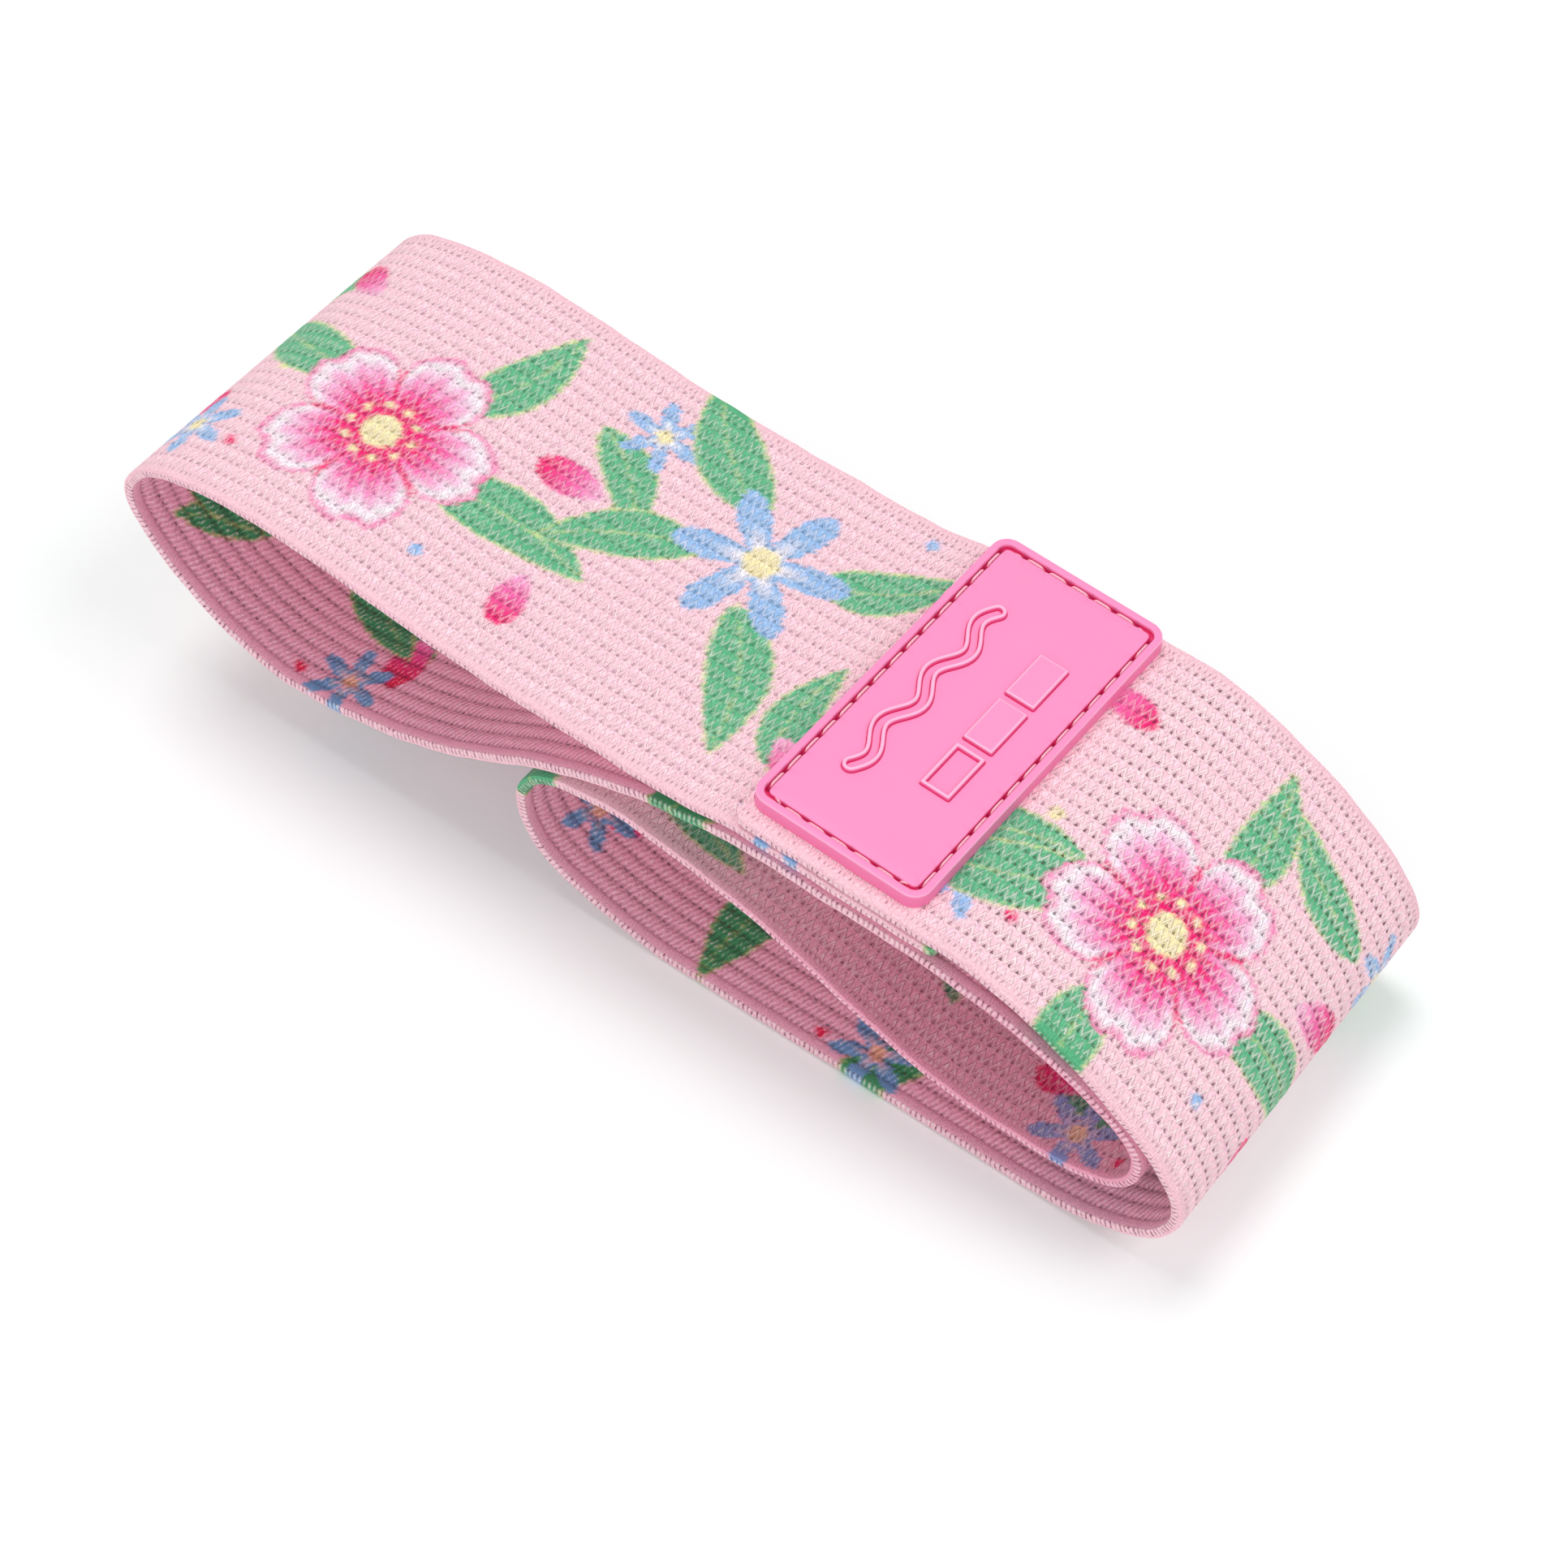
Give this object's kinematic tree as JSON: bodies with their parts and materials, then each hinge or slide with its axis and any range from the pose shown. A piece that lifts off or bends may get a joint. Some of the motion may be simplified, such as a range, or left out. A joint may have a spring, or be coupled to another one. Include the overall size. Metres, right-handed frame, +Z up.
{
  "type": "resistance band",
  "caption": "Wide loop of knitted elastic with a sewn rubber label, pressed flat and folded once; its upper leaf opens out and its end loop stretches.",
  "frame": {"origin": "centre of the part's footprint, on the floor under the flat bottom run", "axes": "+X along the band towards the fold, +Y across the band, +Z up"},
  "size_m": [0.2436, 0.08, 0.0622],
  "materials": {
    "webbing": "knitted elastic, pale pink printed outside and ribbed rose inside",
    "label_rubber": "moulded soft rubber, satin pink",
    "thread": "glossy polyester sewing thread, pale pink"
  },
  "bodies": {
    "lower_leaf": {"bottom_run": "webbing", "lower_end_loop": "webbing", "return_run": "webbing"},
    "fold": {"outer_bend": "webbing", "inner_bend": "webbing"},
    "upper_leaf": {"label_run": "webbing", "lap_under_run": "webbing", "under_run": "webbing", "under_stretch": "webbing", "top_stretch": "webbing", "label_patch": "label_rubber", "label_needle_thread": "thread", "label_bobbin_thread": "thread", "seam_needle_thread_left": "thread", "seam_needle_thread_right": "thread", "seam_bobbin_thread_left": "thread", "seam_bobbin_thread_right": "thread"},
    "end": {"end_loop": "webbing"}
  },
  "joints": [
    {"name": "lower_fold", "type": "hinge", "parent": "lower_leaf", "child": "fold", "pos_m": [0.1152, 0, 0.0188], "axis": [0, 1, 0], "range_deg": [0, 60], "deforming": ["outer_bend", "inner_bend"]},
    {"name": "upper_fold", "type": "hinge", "parent": "fold", "child": "upper_leaf", "pos_m": [0.1103, 0, 0.0321], "axis": [0, 1, 0], "range_deg": [0, 118], "deforming": ["outer_bend", "inner_bend"]},
    {"name": "end_stretch", "type": "slide", "parent": "upper_leaf", "child": "end", "axis": [-1, 0, 0], "range_m": [0, 0.05], "stiffness_N_per_m": 900, "deforming": ["under_stretch", "top_stretch"]}
  ],
  "couplings": [
    {"joint": "lower_fold", "follows": "upper_fold", "ratio": 0.508}
  ]
}
